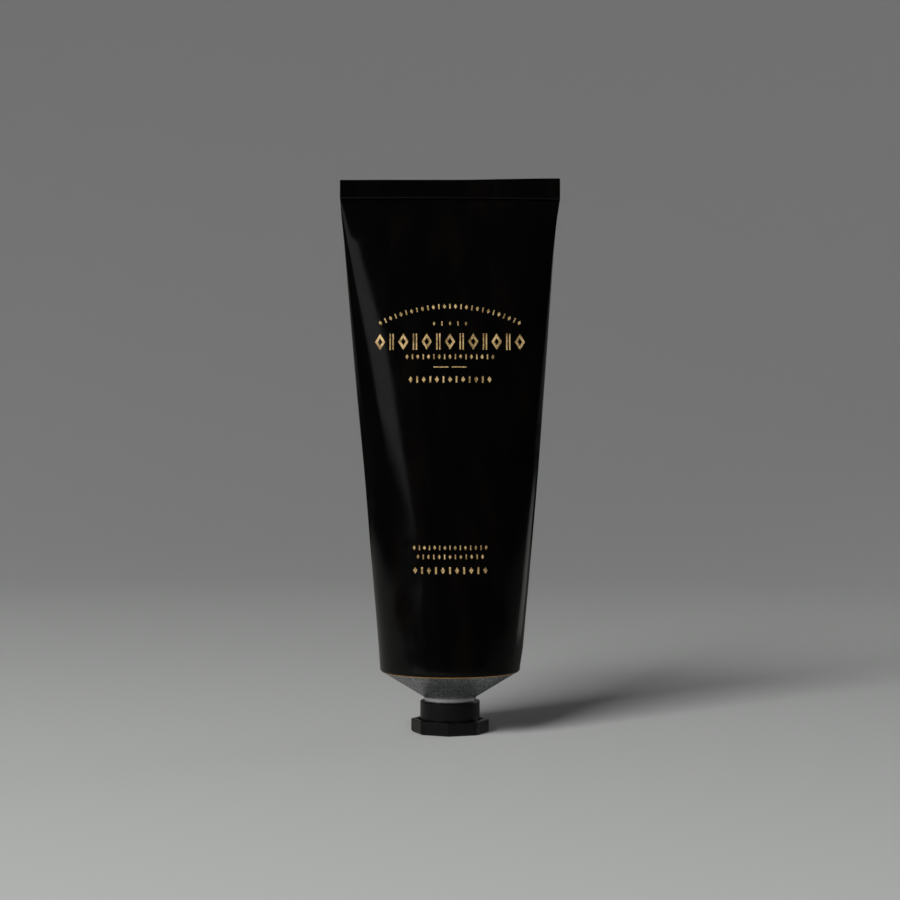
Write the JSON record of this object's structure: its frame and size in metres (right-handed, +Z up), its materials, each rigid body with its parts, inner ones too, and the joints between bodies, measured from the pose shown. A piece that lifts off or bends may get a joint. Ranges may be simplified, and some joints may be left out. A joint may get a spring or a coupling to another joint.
{
  "type": "shaving cream tube",
  "caption": "Collapsible aluminium cream tube, glossy black with a bare conical shoulder and rolled end fold, standing upside down on an octagonal screw cap that unscrews.",
  "frame": {"origin": "middle of the cap's end face, on the surface the tube stands on", "axes": "+Z up along the tube's axis from the cap to the end fold, +X along the fold's width, -Y the printed front"},
  "size_m": [0.0628, 0.04, 0.1576],
  "materials": {
    "bare_aluminium": "satin",
    "black_enamel": "gloss",
    "gold_print": "satin",
    "seal_compound": "matte",
    "cream": "soft gloss",
    "cap_plastic": "satin",
    "liner_foam": "matte"
  },
  "bodies": {
    "cap": {"cap_shell": "cap_plastic"},
    "liner": {"cap_liner": "liner_foam"},
    "tube": {"tube_shell": "bare_aluminium", "enamel_coat": "black_enamel", "gold_print": "gold_print", "end_seal": "seal_compound", "cream": "cream"}
  },
  "joints": [
    {"name": "tube_turn", "type": "hinge", "parent": "cap", "child": "liner", "pos_m": [0, 0, 0], "axis": [0, 0, 1], "range_deg": [0, 1440]},
    {"name": "tube_lift", "type": "slide", "parent": "liner", "child": "tube", "axis": [0, 0, 1], "range_m": [0, 0.006]}
  ],
  "couplings": [
    {"joint": "tube_lift", "follows": "tube_turn", "m_per_rad": 0.00023873}
  ]
}
